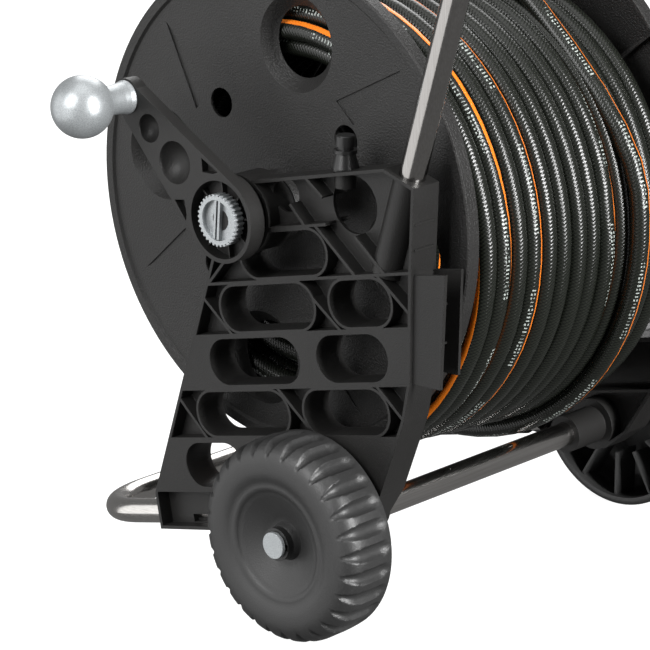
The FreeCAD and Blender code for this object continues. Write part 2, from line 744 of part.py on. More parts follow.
for k in range(28):
    a = 360.0 / 28 * k
    rot = FreeCAD.Rotation(V(1, 0, 0), a)
    base = rot.multVec(V(0, 91.2, 0))
    lean_dir = rot.multVec(V(0.985, -0.10, 0.14))
    lean_dir.normalize()
    scoops.append(
        cone(
            "tread_scoop_%d" % k, 6.2, 3.4, 44.0, (207.0, D["axle_y"] + base.y, D["wheel_rad"] + base.z),
            lean_dir,
        ),
    )
wheel_a = cut("wheel_a", fuse("wheel_raw", [shell, tube] + spokes_w), scoops)
final("wheel_crank_side", wheel_a)
final("wheel_inlet_side", mirrored("wheel_b", wheel_a))

# ---------------------------------------------------------------- parking peg
peg = turned(
    "peg_turned",
    [
        (0.0, 0.0), (0.0, 4.0), (13.5, 4.0), (13.5, 11.0), (16.0, 11.2), (28.0, 8.2), (28.0, 9.6),
        (31.0, 9.6), (31.0, 6.6), (34.0, 6.6), (34.0, 8.0), (42.0, 8.0), (43.0, 7.2), (43.0, 0.0),
    ],
    0,
    0,
)
peg.Placement = FreeCAD.Placement(V(0, 0, 0), FreeCAD.Rotation(V(0, 1, 0), -90))
for key, value in zip("xyz", (183.0, 107.4, 384.1)):
    bind(peg, "Placement.Base." + key, value)
final("connector_parking_peg", peg)

# ---------------------------------------------------------------- fixing screws
def screw(name, pos, axis, length, head=4.6, shank=2.2):
    a = axis
    return fuse(
        name,
        [
            cyl(name + "_shank", shank, length, pos, a),
            cyl(
                name + "_head",
                head,
                2.4,
                (pos[0] - AX[a].x * 2.4, pos[1] - AX[a].y * 2.4, pos[2] - AX[a].z * 2.4),
                a,
            ),
        ],
    )



h_screws, f_screws, h_holes, f_holes, side_holes = [], [], [], [], []
for label, start, reaches, origin, heading, screws, tube_holes in (
        ("handle_screw", 167.0, (30.0, 62.0), h_low, h_dir, h_screws, h_holes),
        ("foot_screw", 153.8, (160.0, 236.0), f_front, f_dir * -1, f_screws, f_holes)):
    for i, reach in enumerate(reaches):
        q = origin + heading * reach
        for sign, ax in ((1, "X"), (-1, "-X")):
            tag = "%s_%d%s" % (label, i, "a" if sign > 0 else "b")
            screws.append(screw(tag, (start * sign, q.y, q.z), ax, 8.6))
            tube_holes.append(cyl(tag + "_hole", 2.2, 12.0, ((start - 1.5) * sign, q.y, q.z), ax))
        side_holes.append(cyl("%s_frame_hole_%d" % (label, i), 2.2, 12.0, (start - 1.5, q.y, q.z), "X"))
frame_a.Tool.Shapes = frame_a.Tool.Shapes + side_holes
final("handle_tube", cut("handle_tube_drilled", handle_shape, h_holes))
final("foot_tube", cut("foot_tube_drilled", foot_shape, f_holes))
for node, items in (("handle_fixing_screws", h_screws), ("foot_fixing_screws", f_screws)):
    g = doc.addObject("Part::Compound", node + "_set")
    g.Links = items
    final(node, g)

# ---------------------------------------------------------------- hose
def ring_wire(x, y, z, r):
    return Part.Wire(Part.makeCircle(r, V(x, y, z), V(1, 0, 0)))


half = D["coil_half"]
wound = Part.makeLoft(
    [ring_wire(half, 6.0, rz - 18.0, 203.5), ring_wire(-half, 6.0, rz - 38.0, 206.5)], True
)
final(
    "hose_coil",
    cut(
        "coil",
        solid("coil_outer", wound),
        cyl("coil_inner", "Dims.coil_in", "2*Dims.coil_half + 2", ("-Dims.coil_half - 1", 0, RZ), "X"),
    ),
)
cz = rz + 190.5
end = fuse(
    "hose_end_raw",
    [
        cyl("hose_end_nut", 15.0, 16.0, (-60.0, 18.0, cz), "-Y"),
        cyl("hose_end_body", 13.6, 24.0, (-60.0, 2.0, cz), "-Y"),
        cyl("hose_end_collar", 14.8, 11.0, (-60.0, -13.0, cz), "-Y"),
    ],
)
final(
    "hose_end_connector",
    cut(
        "hose_end",
        end,
        [
            cyl("hose_end_socket", 8.6, 12.0, (-60.0, 19.0, cz), "-Y"),
            cyl("hose_end_waterway", 5.0, 60.0, (-60.0, 19.0, cz), "-Y"),
            cyl("hose_end_mouth", 8.3, 22.0, (-60.0, -3.0, cz), "-Y"),
        ],
    ),
)

# ---------------------------------------------------------------- check and write
doc.recompute()
bad = []
for o in doc.Objects:
    state = [x for x in o.State if x in ("Invalid", "Error", "Touched")]
    if "Invalid" in state or "Error" in state:
        bad.append("%s %s" % (o.Name, o.State))
    if hasattr(o, "Shape") and (o.Shape.isNull() or not o.Shape.isValid()):
        bad.append("%s shape" % o.Name)
if bad:
    raise RuntimeError("; ".join(bad))
os.makedirs("parts", exist_ok=True)
low, high = [1e9] * 3, [-1e9] * 3
for node, o in finals:
    o.Shape.exportStep("parts/%s.step" % node)
    b = o.Shape.BoundBox
    print(
        "%-28s solids %d  x %.1f..%.1f  y %.1f..%.1f  z %.1f..%.1f  vol %.1f cm3" % (
            node, len(o.Shape.Solids), b.XMin, b.XMax, b.YMin, b.YMax, b.ZMin, b.ZMax,
            o.Shape.Volume / 1000.0,
        ),
    )
    if node not in ("hose_coil", "hose_end_connector"):
        low = [min(p, q) for p, q in zip(low, (b.XMin, b.YMin, b.ZMin))]
        high = [max(p, q) for p, q in zip(high, (b.XMax, b.YMax, b.ZMax))]
print("nodes", len(finals), "box", [round(v, 2) for v in low], [round(v, 2) for v in high])
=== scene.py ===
# %% [markdown]
# # A hose reel cart, from its frame to its finish
# The cart arrives as a set of fixed, measured parts. This lesson adds what those parts
# cannot carry: the wound hose, the grain of each plastic, the polish of the tubes, and light.
# Everything is in metres and in the cart's own frame: +X is the crank side, +Y the handle
# side, and the floor is Z = 0. So a piece goes where the parts say, with no fitting.

# %% Load the frame
import bisect
import json
import math
import random

import bmesh
import bpy
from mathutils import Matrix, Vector


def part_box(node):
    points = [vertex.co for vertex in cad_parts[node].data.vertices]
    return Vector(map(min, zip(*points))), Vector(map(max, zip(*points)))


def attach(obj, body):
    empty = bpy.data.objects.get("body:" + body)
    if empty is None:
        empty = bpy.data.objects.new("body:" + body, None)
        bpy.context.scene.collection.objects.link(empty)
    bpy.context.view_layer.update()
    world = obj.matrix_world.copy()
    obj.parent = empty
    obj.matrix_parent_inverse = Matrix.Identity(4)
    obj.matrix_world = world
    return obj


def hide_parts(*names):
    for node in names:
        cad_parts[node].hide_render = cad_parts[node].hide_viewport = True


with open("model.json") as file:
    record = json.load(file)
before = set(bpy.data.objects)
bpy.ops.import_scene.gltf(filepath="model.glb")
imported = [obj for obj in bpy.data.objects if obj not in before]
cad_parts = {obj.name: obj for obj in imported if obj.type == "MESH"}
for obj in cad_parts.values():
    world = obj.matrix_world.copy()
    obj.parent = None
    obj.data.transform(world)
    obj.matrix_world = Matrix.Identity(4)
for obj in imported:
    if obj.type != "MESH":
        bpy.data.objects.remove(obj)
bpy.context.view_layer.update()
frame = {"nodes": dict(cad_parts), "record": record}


def rounded(values, places=3):
    """A plain list of numbers that is short enough to print."""
    return [round(value, places) for value in values]


# %% [markdown]
# ## Places that the rest leans on
# The reel, the wheels and the knob all turn on lines that run along X. Their joints give
# those lines, so the hose and the small details start from them and never drift away.

# %% Turning axes
joints = frame["record"]["behaviour"]["joints"]
axes = {joint["name"]: Vector(joint["pos_m"]) for joint in joints}
reel_axis = axes["reel_spin"]
flange_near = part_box("reel_flange_crank_side")
flange_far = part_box("reel_flange_inlet_side")
room = (flange_far[1][0], flange_near[0][0])
print("reel axis:", rounded(reel_axis, 4), " room for hose along X:", rounded(room, 4))

# %% [markdown]
# ## The camera
# A long lens from a few metres away keeps the near wheel from looking swollen. It looks at
# a point low in the reel, from the corner between the crank side and the handle side.

# %% Camera
BEARING = math.radians(43.31)
RISE = math.radians(17.36)
AIM = Vector((0.0518, -0.0619, 0.2144))
DISTANCE = 2.696
LENS_MM = 170.0
FILM_MM = 36.0


def towards(bearing, rise):
    """A unit direction: bearing is turned from +X to +Y and rise is above level."""
    return Vector((
        math.cos(rise) * math.cos(bearing),
        math.cos(rise) * math.sin(bearing),
        math.sin(rise),
    ))


def new_object(name, data):
    """An object that holds the data, put into the scene."""
    item = bpy.data.objects.new(name, data)
    bpy.context.scene.collection.objects.link(item)
    return item


def look_back(item, direction):
    """Turn a camera or lamp that stands in a direction so that it looks back along it."""
    item.rotation_mode = "QUATERNION"
    item.rotation_quaternion = direction.to_track_quat("Z", "Y")


towards_camera = towards(BEARING, RISE)
camera_data = bpy.data.cameras.new("long_lens")
camera_data.lens = LENS_MM
camera_data.sensor_width = FILM_MM
camera = new_object("camera", camera_data)
camera.location = AIM + towards_camera * DISTANCE
look_back(camera, towards_camera)
bpy.context.scene.camera = camera
print("camera at", rounded(camera.location))

# %% [markdown]
# ## The path of the hose
# Fifty metres of garden hose wound by hand lie in layers, each turn beside the last, and the
# hose steps over to its next groove on the front of the reel. The inner layers are tight on
# the drum. The outer ones are slack: they rest on top of the reel and hang below it, so each
# layer is a circle whose centre has dropped a little, more towards the far flange.
# Hundreds of points could be placed by hand, but a loop over a short table of layers makes
# them all, and they become the control points of one smooth curve.

# %% Sizes of the winding
HOSE = 0.017
LAYER_STEP = 0.0152
POINTS_PER_TURN = 16
# The outer layer's height above the axle's line and its sag, at the near and the far flange.
TOP_NEAR = 0.1770
TOP_FAR = 0.1600
SAG_NEAR = 0.018
SAG_FAR = 0.038
SHIFT_BACK = 0.006
HALF_ROOM = 0.136
MIDDLE = (room[0] + room[1]) / 2
# Shares of a turn: where the hose steps to its next groove, and where its last loop climbs.
STEP_START, STEP_END = 0.14, 0.40
CLIMB_START, CLIMB_END, CLIMB = 0.60, 0.90, 0.0088
print("a turn has", POINTS_PER_TURN, "points, and the reel's middle is at", round(MIDDLE, 4))


def smooth(t):
    """0 to 1 with level ends, held outside that range."""
    t = min(1.0, max(0.0, t))
    return t * t * (3 - 2 * t)


def across(x, near, far):
    """A value that changes evenly from the near flange to the far one."""
    return far + (near - far) * (x + HALF_ROOM) / (2 * HALF_ROOM)


def ring_of(x, layer):
    """A turn's radius and how far its centre drops and shifts; layer 0 is the outer one."""
    slack = 1 - layer / len(LAYERS)
    drop = across(x, SAG_NEAR, SAG_FAR) * slack
    top = across(x, TOP_NEAR, TOP_FAR) - layer * LAYER_STEP
    return top + drop, drop, SHIFT_BACK * slack


# %% Turn by turn
# A layer is a row of grooves: where it starts, where it ends and how many turns it holds.
# A turn is written as its place along X, its radius, its drop and its shift to the back.
# The loose turn stops at its last step, short of a full circle, where the fitting is.
LAYERS = [
    {"layer": 3, "from": 0.0307, "to": 0.1187, "turns": 6},
    {"layer": 2, "from": 0.1275, "to": -0.0485, "turns": 11},
    {"layer": 1, "from": -0.1101, "to": 0.1187, "turns": 14},
    {"layer": 0, "from": 0.1170, "to": -0.1134, "turns": 13},
]
FIRST_TURN = (-0.1180, 0.1066, 0.0, 0.0)
LOOSE_TURN = (-0.0600, 0.2142, 0.0325, 0.004)
LAST_STEP = 13
GROOVE_WANDER = 0.00025
MOST_SLACK = 0.0012
wander = random.Random(17)


def turn_list():
    """One entry for each turn, from the drum out."""
    turns = [FIRST_TURN]
    for row in LAYERS:
        gap = (row["to"] - row["from"]) / (row["turns"] - 1)
        for count in range(row["turns"]):
            x = row["from"] + gap * count + wander.uniform(-GROOVE_WANDER, GROOVE_WANDER)
            radius, drop, shift = ring_of(x, row["layer"])
            slack = wander.uniform(0.0, MOST_SLACK)
            turns.append((x, radius + slack, drop + slack, shift))
    return turns


turns = turn_list()
print("turns:", len(turns), " plus one loose turn that crosses back to the hose's end")

# %% Where the hose begins and ends
# It is pushed over a barb on the drum, and its free end goes into the fitting's socket.
BARB_RISE = 0.104
barb = Vector((MIDDLE + FIRST_TURN[0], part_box("drum_outlet_elbow")[0][1], reel_axis.z + BARB_RISE))
end_low, end_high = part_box("hose_end_connector")
socket_face = Vector(((end_low[0] + end_high[0]) / 2, end_high[1], (end_low[2] + end_high[2]) / 2))
OFF_THE_BARB = (0, -0.022, 0)
INTO_THE_SOCKET = [(0, 0.050, -0.004), (0, 0.020, 0), (0, -0.012, 0)]
print("barb:", rounded(barb), " socket:", rounded(socket_face))

# %% Control points
# The smooth curve cuts inside its control points, so each turn's points lie a little wide.
bulge = 1 / math.cos(math.pi / POINTS_PER_TURN)


def place_on(x, radius, drop, shift, angle):
    """A point of a turn: angle 0 is the top, and a quarter turn is the front of the reel."""
    return Vector((
        MIDDLE + x,
        reel_axis.y + shift - radius * math.sin(angle),
        reel_axis.z - drop + radius * math.cos(angle),
    ))


def blend(first, second, t):
    """Two turns mixed, value by value."""
    return tuple(a + (b - a) * t for a, b in zip(first, second))


def hose_route():
    """Control points from the barb on the drum to the fitting on the free end."""
    route = [barb.copy(), barb + Vector(OFF_THE_BARB)]
    path = turns + [LOOSE_TURN]
    for number in range(len(path) - 1):
        last_loop = number == len(path) - 2
        steps_from = 2 if number == 0 else 0
        steps_to = LAST_STEP + 1 if last_loop else POINTS_PER_TURN
        for step in range(steps_from, steps_to):
            part = step / POINTS_PER_TURN
            t = smooth((part - STEP_START) / (STEP_END - STEP_START))
            x, radius, drop, shift = blend(path[number], path[number + 1], t)
            if last_loop:
                radius += CLIMB * smooth((part - CLIMB_START) / (CLIMB_END - CLIMB_START))
            route.append(place_on(x, radius * bulge, drop, shift, part * 2 * math.pi))
    return route + [socket_face + Vector(step) for step in INTO_THE_SOCKET]


route = hose_route()
print("control points:", len(route))

# %% [markdown]
# ## From a line to a hose
# The control points make one open NURBS curve of order 3, which rounds them into a line
# without kinks. The curve's own bevel would be the quick way to a tube. The skin is swept
# along points read back from the curve instead, because the braid, the stripe and the ticks
# need a map that says how far along and how far round each spot is. The skin also twists
# slowly, as a real hose does when it is wound: that brings the stripe into sight on one
# turn and hides it on the next.

# %% The smooth line
def nurbs_line(name, points, resolution):
    """A curve object with one open spline through the given control points."""
    data = bpy.data.curves.new(name, "CURVE")
    data.dimensions = "3D"
    data.resolution_u = resolution
    spline = data.splines.new("NURBS")
    spline.points.add(len(points) - 1)
    for number, point in enumerate(points):
        spline.points[number].co = (*point, 1.0)
    spline.order_u = 3
    spline.use_endpoint_u = True
    return new_object(name, data)


def read_line(curve):
    """The points along a curve that has no thickness, in order."""
    graph = bpy.context.evaluated_depsgraph_get()
    mesh = bpy.data.meshes.new_from_object(curve.evaluated_get(graph))
    points = [vertex.co.copy() for vertex in mesh.vertices]
    bpy.data.meshes.remove(mesh)
    return points


LINE_RESOLUTION = 4
guide = nurbs_line("hose_guide", route, LINE_RESOLUTION)
line = read_line(guide)
bpy.data.objects.remove(guide)
runs = [0.0]
for first, second in zip(line, line[1:]):
    runs.append(runs[-1] + (second - first).length)
hose_length = runs[-1]
print("points on the line:", len(line), " hose length:", round(hose_length, 2), "m")

# %% How the stripe wanders
# Pairs of turns since the outer layer began and degrees round the hose: at 0 the stripe
# faces away from the reel, and at 90 it faces the crank side. The first pair is the drum.
OUTER_START = 1 + sum(row["turns"] for row in LAYERS[:-1])
STRIPE = [
    (-OUTER_START, -900), (-0.60, 30), (-0.45, 66), (-0.38, 80), (-0.30, 94), (-0.25, 116),
    (-0.21, 145), (0.60, 280), (0.74, 318), (0.78, 334), (0.82, 345), (0.90, 352),
    (0.98, 364), (1.50, 560), (1.95, 592), (2.55, 706), (2.68, 692), (2.75, 685),
    (2.82, 682), (2.93, 686), (3.45, 930), (7.60, 960), (7.72, 1020), (7.75, 1050),
    (7.77, 1024), (7.84, 985), (12.20, 950), (12.55, 1066), (12.68, 1052), (12.75, 1046),
    (12.82, 1043), (13.20, 1047),
]


def stripe_angle(turn):
    """The stripe's place round the hose, in radians, in even steps between the pairs."""
    turn -= OUTER_START
    place = bisect.bisect_right([pair[0] for pair in STRIPE], turn) - 1
    place = min(max(place, 0), len(STRIPE) - 2)
    start, end = STRIPE[place], STRIPE[place + 1]
    t = (turn - start[0]) / (end[0] - start[0])
    return math.radians(start[1] + (end[1] - start[1]) * min(1.0, max(0.0, t)))


print("the outer layer starts at turn", OUTER_START, " and the stripe has", len(STRIPE), "pairs")

# %% Turns counted along the line
def turn_numbers(points):
    """How many turns round the reel each point of the line has made, counted from the top."""
    numbers, last, total = [], None, 0.0
    for point in points:
        angle = math.atan2(-(point.y - reel_axis.y), point.z - reel_axis.z)
        if last is not None:
            total += (angle - last + math.pi) % (2 * math.pi) - math.pi
        else:
            total = angle
        last = angle
        numbers.append(total / (2 * math.pi))
    return numbers


numbers = turn_numbers(line)
print("turns from the barb to the free end:", round(numbers[-1] - numbers[0], 1))

# %% Sweep the skin
SIDES = 18
CAP_PLACE = 0.2


def sweep_hose(points, lengths):
    """A closed tube round the line, with a map in turns of its girth and metres of length."""
    verts, faces, maps = [], [], []
    for index, point in enumerate(points):
        before = points[max(index - 1, 0)]
        after = points[min(index + 1, len(points) - 1)]
        along = (after - before).normalized()
        outward = Vector((0, point.y - reel_axis.y, point.z - reel_axis.z))
        outward = (outward - along * outward.dot(along)).normalized()
        sideways = outward.cross(along)
        stripe = stripe_angle(numbers[index])
        for side in range(SIDES):
            angle = stripe + 2 * math.pi * (side / SIDES - 0.5)
            reach = outward * math.cos(angle) + sideways * math.sin(angle)
            verts.append(point + reach * HOSE / 2)
    for index in range(len(points) - 1):
        low, high = index * SIDES, (index + 1) * SIDES
        for side in range(SIDES):
            beside = (side + 1) % SIDES
            faces.append((low + side, low + beside, high + beside, high + side))
            u0, u1 = side / SIDES, (side + 1) / SIDES
            v0, v1 = lengths[index], lengths[index + 1]
            maps += [(u0, v0), (u1, v0), (u1, v1), (u0, v1)]
    last = (len(points) - 1) * SIDES
    faces.append(tuple(reversed(range(SIDES))))
    faces.append(tuple(last + side for side in range(SIDES)))
    maps += [(CAP_PLACE, 0.0)] * SIDES + [(CAP_PLACE, lengths[-1])] * SIDES
    mesh = bpy.data.meshes.new("hose")
    mesh.from_pydata(verts, [], faces)
    layer = mesh.uv_layers.new(name="hose_map")
    layer.data.foreach_set("uv", [value for pair in maps for value in pair])
    mesh.polygons.foreach_set("use_smooth", [True] * len(faces))
    mesh.update()
    return new_object("wound_hose", mesh)


hose = sweep_hose(line, runs)
print("hose faces:", len(hose.data.polygons))

# %% Tie the hose to the reel
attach(hose, "reel")
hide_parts("hose_coil")

# %% [markdown]
# ## A short way to write materials
# A material is a small sum over the surface: a little noise for grain, a band for a stripe.
# Wiring such sums by hand hides them. The class below wraps one socket so that + - * / and
# a few named sums add the Math nodes, and one method of Board adds any other node.

# %% Wires
class Wire:
    """One output socket that can be used in sums."""

    def __init__(self, board, socket):
        self.board = board
        self.socket = socket

    def sum(self, operation, *values):
        return self.board.node("ShaderNodeMath", {"operation": operation}, dict(enumerate(values)))

    def __add__(self, other):
        return self.sum("ADD", self, other)

    __radd__ = __add__

    def __mul__(self, other):
        return self.sum("MULTIPLY", self, other)

    __rmul__ = __mul__

    def __sub__(self, other):
        return self.sum("SUBTRACT", self, other)

    def __rsub__(self, other):
        return self.sum("SUBTRACT", other, self)

    def __truediv__(self, other):
        return self.sum("DIVIDE", self, other)

    def above(self, other):
        return self.sum("GREATER_THAN", self, other)

    def below(self, other):
        return self.sum("LESS_THAN", self, other)

    def sine(self):
        return self.sum("SINE", self)

    def cosine(self):
        return self.sum("COSINE", self)

    def size(self):
        return self.sum("ABSOLUTE", self)

    def floor(self):
        return self.sum("FLOOR", self)

    def fraction(self):
        return self.sum("FRACT", self)

    def root(self):
        return self.sum("SQRT", self)

    def power(self, other):
        return self.sum("POWER", self, other)

    def held(self):
        """Kept between 0 and 1."""
        return self.sum("MAXIMUM", self.sum("MINIMUM", self, 1.0), 0.0)

    def ramp(self, low, high):
        """0 below low, 1 above high, and a smooth rise between them."""
        settings = {"interpolation_type": "SMOOTHSTEP"}
        sockets = {"Value": self, "From Min": low, "From Max": high}
        return self.board.node("ShaderNodeMapRange", settings, sockets)


print("ways to use a wire:", sum(callable(item) for item in vars(Wire).values()))

# %% Boards of nodes
# The Mix node has sockets for numbers, vectors and colours; these are the colour ones.
MIX_FACTOR, MIX_FIRST, MIX_SECOND, MIX_RESULT = 0, 6, 7, 2
BEVEL_SAMPLES = 4


class Board:
    """A node tree that sums and nodes are added to."""

    def __init__(self, tree):
        self.tree = tree

    def node(self, kind, settings, sockets, output=0):
        """Add a node: settings first, then the values or wires of its sockets."""
        node = self.tree.nodes.new(kind)
        for name, value in settings.items():
            setattr(node, name, value)
        for name, value in sockets.items():
            if isinstance(value, Wire):
                self.tree.links.new(value.socket, node.inputs[name])
            else:
                node.inputs[name].default_value = value
        return Wire(self, node.outputs[output])


class Finish(Board):
    """A material under construction."""

    def __init__(self, name, **constants):
        self.material = bpy.data.materials.new(name)
        self.material.use_nodes = True
        super().__init__(self.material.node_tree)
        self.tree.nodes.clear()
        self.shader = self.tree.nodes.new("ShaderNodeBsdfPrincipled")
        output = self.tree.nodes.new("ShaderNodeOutputMaterial")
        self.tree.links.new(self.shader.outputs[0], output.inputs[0])
        for socket, value in constants.items():
            self.set(socket.replace("_", " ").title().replace("Ior", "IOR"), value)

    def set(self, socket, value):
        """Give a shader socket a constant or a wire."""
        if isinstance(value, Wire):
            self.tree.links.new(value.socket, self.shader.inputs[socket])
        else:
            self.shader.inputs[socket].default_value = value

    def place(self, scale=(1, 1, 1), turn=(0, 0, 0)):
        """Object coordinates, in metres, stretched and turned."""
        coords = self.node("ShaderNodeTexCoord", {}, {}, "Object")
        sockets = {"Vector": coords, "Scale": scale, "Rotation": turn}
        return self.node("ShaderNodeMapping", {}, sockets)

    def noise(self, size, detail=2.0, where=None):
        """Soft noise whose lumps are about the given size in metres."""
        sockets = {"Vector": where or self.place(), "Scale": 1 / size, "Detail": detail}
        return self.node("ShaderNodeTexNoise", {}, sockets, "Fac")

    def mix(self, factor, first, second):
        """A colour between two colours."""
        settings = {"data_type": "RGBA"}
        sockets = {MIX_FACTOR: factor, MIX_FIRST: first, MIX_SECOND: second}
        return self.node("ShaderNodeMix", settings, sockets, MIX_RESULT)

    def bump(self, height, depth, base=None):
        """A normal from a height between 0 and 1 that stands for the given depth in metres."""
        sockets = {"Height": height, "Distance": depth, "Strength": 1.0}
        if base:
            sockets["Normal"] = base
        return self.node("ShaderNodeBump", {}, sockets)

    def soft_edge(self, radius):
        """A normal that rounds sharp corners."""
        return self.node("ShaderNodeBevel", {"samples": BEVEL_SAMPLES}, {"Radius": radius})


def grey(value, warmth=0.0):
    """An almost neutral colour; a positive warmth leans to red."""
    return (value * (1 + warmth), value, value * (1 - warmth), 1.0)


print("material tools ready")

# %% [markdown]
# ## Moulded black plastic
# Every black part comes out of a mould that was spark-eroded to a fine grain, so it has a
# soft sheen and no mirror. The reel has the coarsest grain, the frames a finer one, and
# the wheels are almost smooth. The corners of the frames and the reel are softened by a
# little over half a millimetre, and they catch light. A material could be written for each
# part, but all of them are one recipe with different sizes.

# %% Plastic recipe
CLOUD_SIZE = 0.09
DARKER, LIGHTER, SPECK = 0.85, 1.2, 1.9
CLOUD_ROUGHNESS, GRIT_ROUGHNESS = 0.12, 0.15


def plastic(name, value, rough, grain, depth, corner, warmth, polish):
    """Black plastic: base grey, roughness, grain size and depth, and corner radius in metres."""
    finish = Finish(name, specular_ior_level=polish)
    where = finish.place()
    cloud = finish.noise(CLOUD_SIZE, 3.0, where)
    grit = finish.noise(grain, 2.0, where)
    dark, light = grey(value * DARKER, warmth), grey(value * LIGHTER, warmth)
    tone = finish.mix(cloud.ramp(0.3, 0.7), dark, light)
    specks = grit.ramp(0.55, 0.75) * 0.5
    finish.set("Base Color", finish.mix(specks, tone, grey(value * SPECK, warmth)))
    uneven = (cloud - 0.5) * CLOUD_ROUGHNESS + (grit - 0.5) * GRIT_ROUGHNESS
    finish.set("Roughness", rough + uneven)
    corners = finish.soft_edge(corner) if corner else None
    finish.set("Normal", finish.bump(grit.ramp(0.3, 0.7), depth, corners))
    return finish.material


# The columns are base grey, roughness, grain size and depth, corner, warmth and polish.
PLASTICS = {
    "frame_black": (0.014, 0.42, 0.0011, 0.00007, 0.0006, 0.03, 0.28),
    "reel_black": (0.014, 0.44, 0.0016, 0.00022, 0.0007, 0.03, 0.35),
    "wheel_black": (0.021, 0.46, 0.0013, 0.00006, None, 0.0, 0.55),
    "fitting_black": (0.010, 0.33, 0.0009, 0.00004, 0.0004, 0.0, 0.5),
    "drum_black": (0.012, 0.5, 0.0015, 0.0001, None, 0.0, 0.3),
}
finishes = {name: plastic(name, *sizes) for name, sizes in PLASTICS.items()}
print("plastics:", list(finishes))

# %% [markdown]
# ## Silver plastic
# The knob, the nut and the wheel caps are grey plastic with metal flake in it. A full metal
# would look like a steel ball, so this is part metal: a soft satin silver, with flakes that
# only show close up.

# %% Silver recipe
FLAKE_SIZE = 0.0007
SILVER_DARK, SILVER_LIGHT = (0.30, 0.32, 0.33, 1), (0.44, 0.46, 0.47, 1)


def flake_silver():
    """Grey plastic with fine metal flake."""
    finish = Finish("flake_silver", metallic=0.55, specular_ior_level=0.5)
    where = finish.place()
    flake = finish.noise(FLAKE_SIZE, 1.0, where)
    cloud = finish.noise(0.03, 2.0, where)
    tone = finish.mix(flake.ramp(0.35, 0.65), SILVER_DARK, SILVER_LIGHT)
    finish.set("Base Color", tone)
    finish.set("Roughness", 0.36 + (cloud - 0.5) * 0.10)
    finish.set("Normal", finish.bump(flake, 0.00003, finish.soft_edge(0.0005)))
    return finish.material


finishes["silver"] = flake_silver()
print("silver:", finishes["silver"].name)

# %% [markdown]
# ## Polished tubes and plain screws
# The tubes are stainless, drawn and then polished along their length, so the tiny scratches
# run lengthways and the reflections are drawn out in long bars. The tubes run in different
# directions, so each one has the scratches stretched its own way, and the leaning handle
# and foot have them turned as well.

# %% Steel recipe
def steel(name, stretch, turn, rough, value):
    """Steel with fine lines: stretch holds lines per metre along each turned axis."""
    finish = Finish(name, metallic=1.0)
    where = finish.place(stretch, turn)
    lines = finish.noise(1.0, 3.0, where)
    cloud = finish.noise(0.06, 3.0)
    tone = finish.mix(lines.ramp(0.3, 0.7), grey(value * 0.92, 0.04), grey(value * 1.08, 0.03))
    finish.set("Base Color", tone)
    finish.set("Roughness", rough + (lines - 0.5) * 0.12 + (cloud - 0.5) * 0.08)
    finish.set("Normal", finish.bump(lines, 0.00002))
    return finish.material


HANDLE_LEAN = (math.radians(16.1), 0, 0)
FOOT_LEAN = (math.radians(-14.4), 0, 0)
ACROSS, ALONG, EVEN = 1400.0, 14.0, 900.0
# The columns are how the scratches are stretched and turned, the roughness and the grey.
STEELS = {
    "axle_steel": ((ALONG, ACROSS, ACROSS), (0, 0, 0), 0.20, 0.56),
    "handle_steel": ((ACROSS, ACROSS, ALONG), HANDLE_LEAN, 0.16, 0.34),
    "foot_steel": ((ACROSS, ALONG, ACROSS), FOOT_LEAN, 0.20, 0.56),
    "screw_steel": ((EVEN, EVEN, EVEN), (0, 0, 0), 0.34, 0.45),
}
finishes.update({name: steel(name, *sizes) for name, sizes in STEELS.items()})
print("steels:", list(STEELS))

# %% [markdown]
# ## The hose's skin
# Under a thin, glossy skin lies a braid of crossing threads, and it shows as tiny dashes
# where light grazes it. One orange stripe runs along the hose, and beside it a pale printed
# scale of plain ticks. Threads could be modelled one by one, but there are far too many, so
# they are relief in the finish. All of it follows the map from the sweep, and bends and
# twists with the hose.

# %% Hose recipe
# Places and widths round the hose are shares of its girth; lengths along it are in metres.
THREADS = 11
THREAD_LAY = 0.0031
LEFT_THREADS, RIGHT_THREADS = 0.34, 0.16
THREAD_DEPTH = 0.00020
STRIPE_PLACE = 0.5
STRIPE_SHARE = 0.0055 / (math.pi * HOSE)
SCALE_PLACE = 0.645
SCALE_HALF = 0.045
TICK_PITCH = 0.0034
SCALE_REPEAT = 0.120
SCALE_SHOWN = 0.62
# The braid's grooves get a painted shade, near black, and the thread backs a lighter painted sheen.
GROOVE_PAINTED_SHADE, THREAD_PAINTED_SHEEN = (0.0015, 0.0018, 0.0015, 1), (0.012, 0.014, 0.010, 1)
INK, ORANGE = (0.42, 0.46, 0.43, 1), (0.78, 0.19, 0.012, 1)


def braid_of(round_it, along_it):
    """Threads that cross: 0 in the grooves between them and 1 on their backs."""
    lay = along_it * (1 / THREAD_LAY)
    left = ((round_it * THREADS + lay) * (2 * math.pi)).sine()
    right = ((round_it * THREADS - lay) * (2 * math.pi)).sine()
    return left * LEFT_THREADS + right * RIGHT_THREADS + 0.5


def ticks_of(finish, round_it, along_it):
    """A printed row of ticks of uneven width and length, some of them split in two."""
    tick = along_it * (1 / TICK_PITCH)
    draw = finish.node("ShaderNodeTexWhiteNoise", {"noise_dimensions": "1D"}, {"W": tick.floor()})
    thick = (tick.fraction() - 0.5).size().below(0.10 + draw * 0.18)
    aside = (round_it - SCALE_PLACE).size()
    split = draw.above(0.6) * aside.below(SCALE_HALF * 0.35)
    reach = aside.below(SCALE_HALF * (0.5 + draw * 0.5)) * (1 - split)
    shown = (along_it * (1 / SCALE_REPEAT)).fraction().below(SCALE_SHOWN)
    return thick * reach * shown


